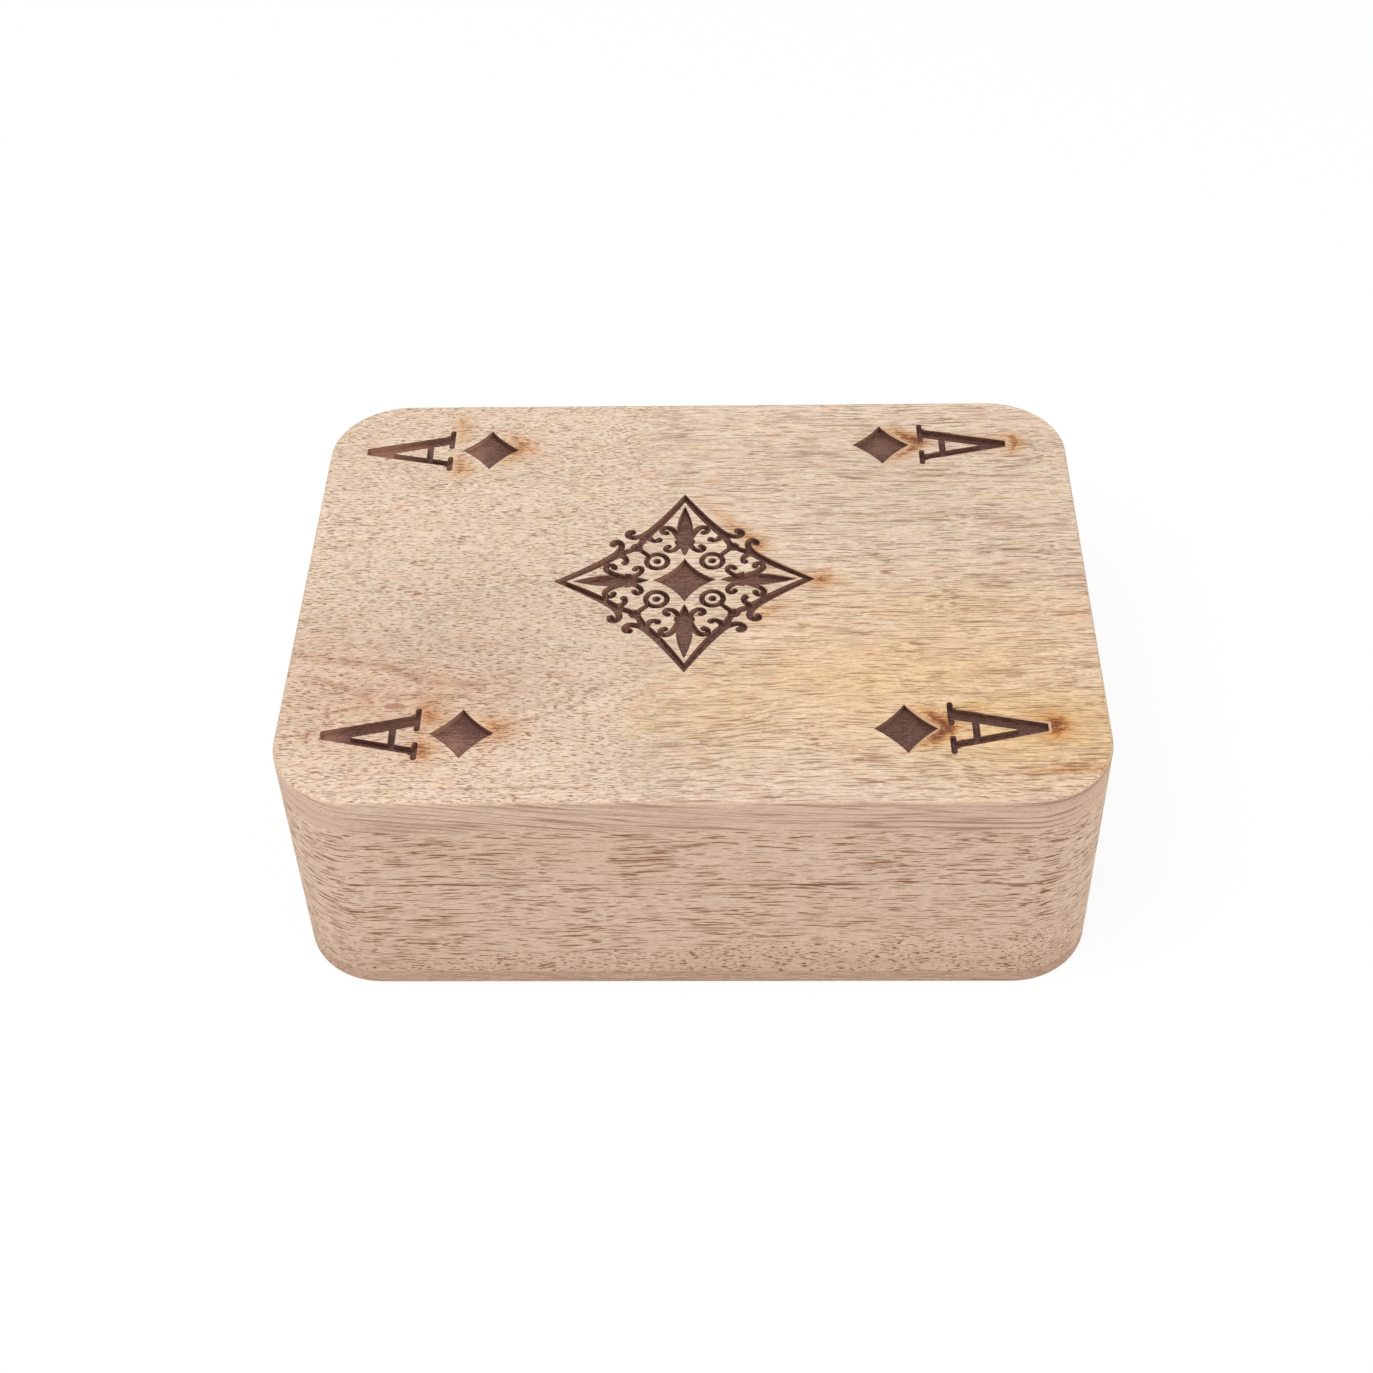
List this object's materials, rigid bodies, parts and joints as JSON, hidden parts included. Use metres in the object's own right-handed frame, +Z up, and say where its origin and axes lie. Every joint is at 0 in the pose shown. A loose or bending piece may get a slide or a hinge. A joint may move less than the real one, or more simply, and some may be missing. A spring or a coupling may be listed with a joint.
{
  "type": "playing card storage box",
  "caption": "Low rounded wooden box with a deep hinged lid, a carved card motif on top, and two card wells parted by a scooped divider.",
  "frame": {"origin": "centre of the flat underside that the box stands on", "axes": "+X to the right along the box's length, +Y from the front to the hinged back, +Z up"},
  "size_m": [0.152, 0.1164, 0.0523],
  "materials": {
    "lid_panel_wood": "sanded pale hardwood, long fine pores, clear matt oil",
    "lid_rail_wood": "sanded pale hardwood, coarse brown pores, clear matt oil",
    "base_wall_wood": "sanded pale hardwood, coarse brown pores, clear matt oil",
    "bottom_panel_wood": "thin board, slightly darker, clear matt oil",
    "divider_wood": "sanded pale hardwood, clear matt oil",
    "hinge_brass": "pressed brass, satin",
    "screw_brass": "turned brass, satin",
    "magnet_nickel": "nickel plated disc magnet"
  },
  "bodies": {
    "base": {"base_front_wall": "base_wall_wood", "base_right_wall": "base_wall_wood", "base_back_wall": "base_wall_wood", "base_left_wall": "base_wall_wood", "bottom_panel": "bottom_panel_wood", "card_divider": "divider_wood", "left_hinge_base_leaf": "hinge_brass", "right_hinge_base_leaf": "hinge_brass", "left_hinge_pin": "hinge_brass", "right_hinge_pin": "hinge_brass", "left_base_magnet": "magnet_nickel", "right_base_magnet": "magnet_nickel", "base_hinge_screws": "screw_brass"},
    "lid": {"lid_front_rail": "lid_rail_wood", "lid_right_rail": "lid_rail_wood", "lid_back_rail": "lid_rail_wood", "lid_left_rail": "lid_rail_wood", "lid_panel": "lid_panel_wood", "left_hinge_lid_leaf": "hinge_brass", "right_hinge_lid_leaf": "hinge_brass", "left_lid_magnet": "magnet_nickel", "right_lid_magnet": "magnet_nickel", "lid_hinge_screws": "screw_brass"}
  },
  "joints": [
    {"name": "lid_hinge", "type": "hinge", "parent": "base", "child": "lid", "pos_m": [0, 0.0583, 0.02946], "axis": [-1, 0, 0], "range_deg": [0, 180]}
  ]
}
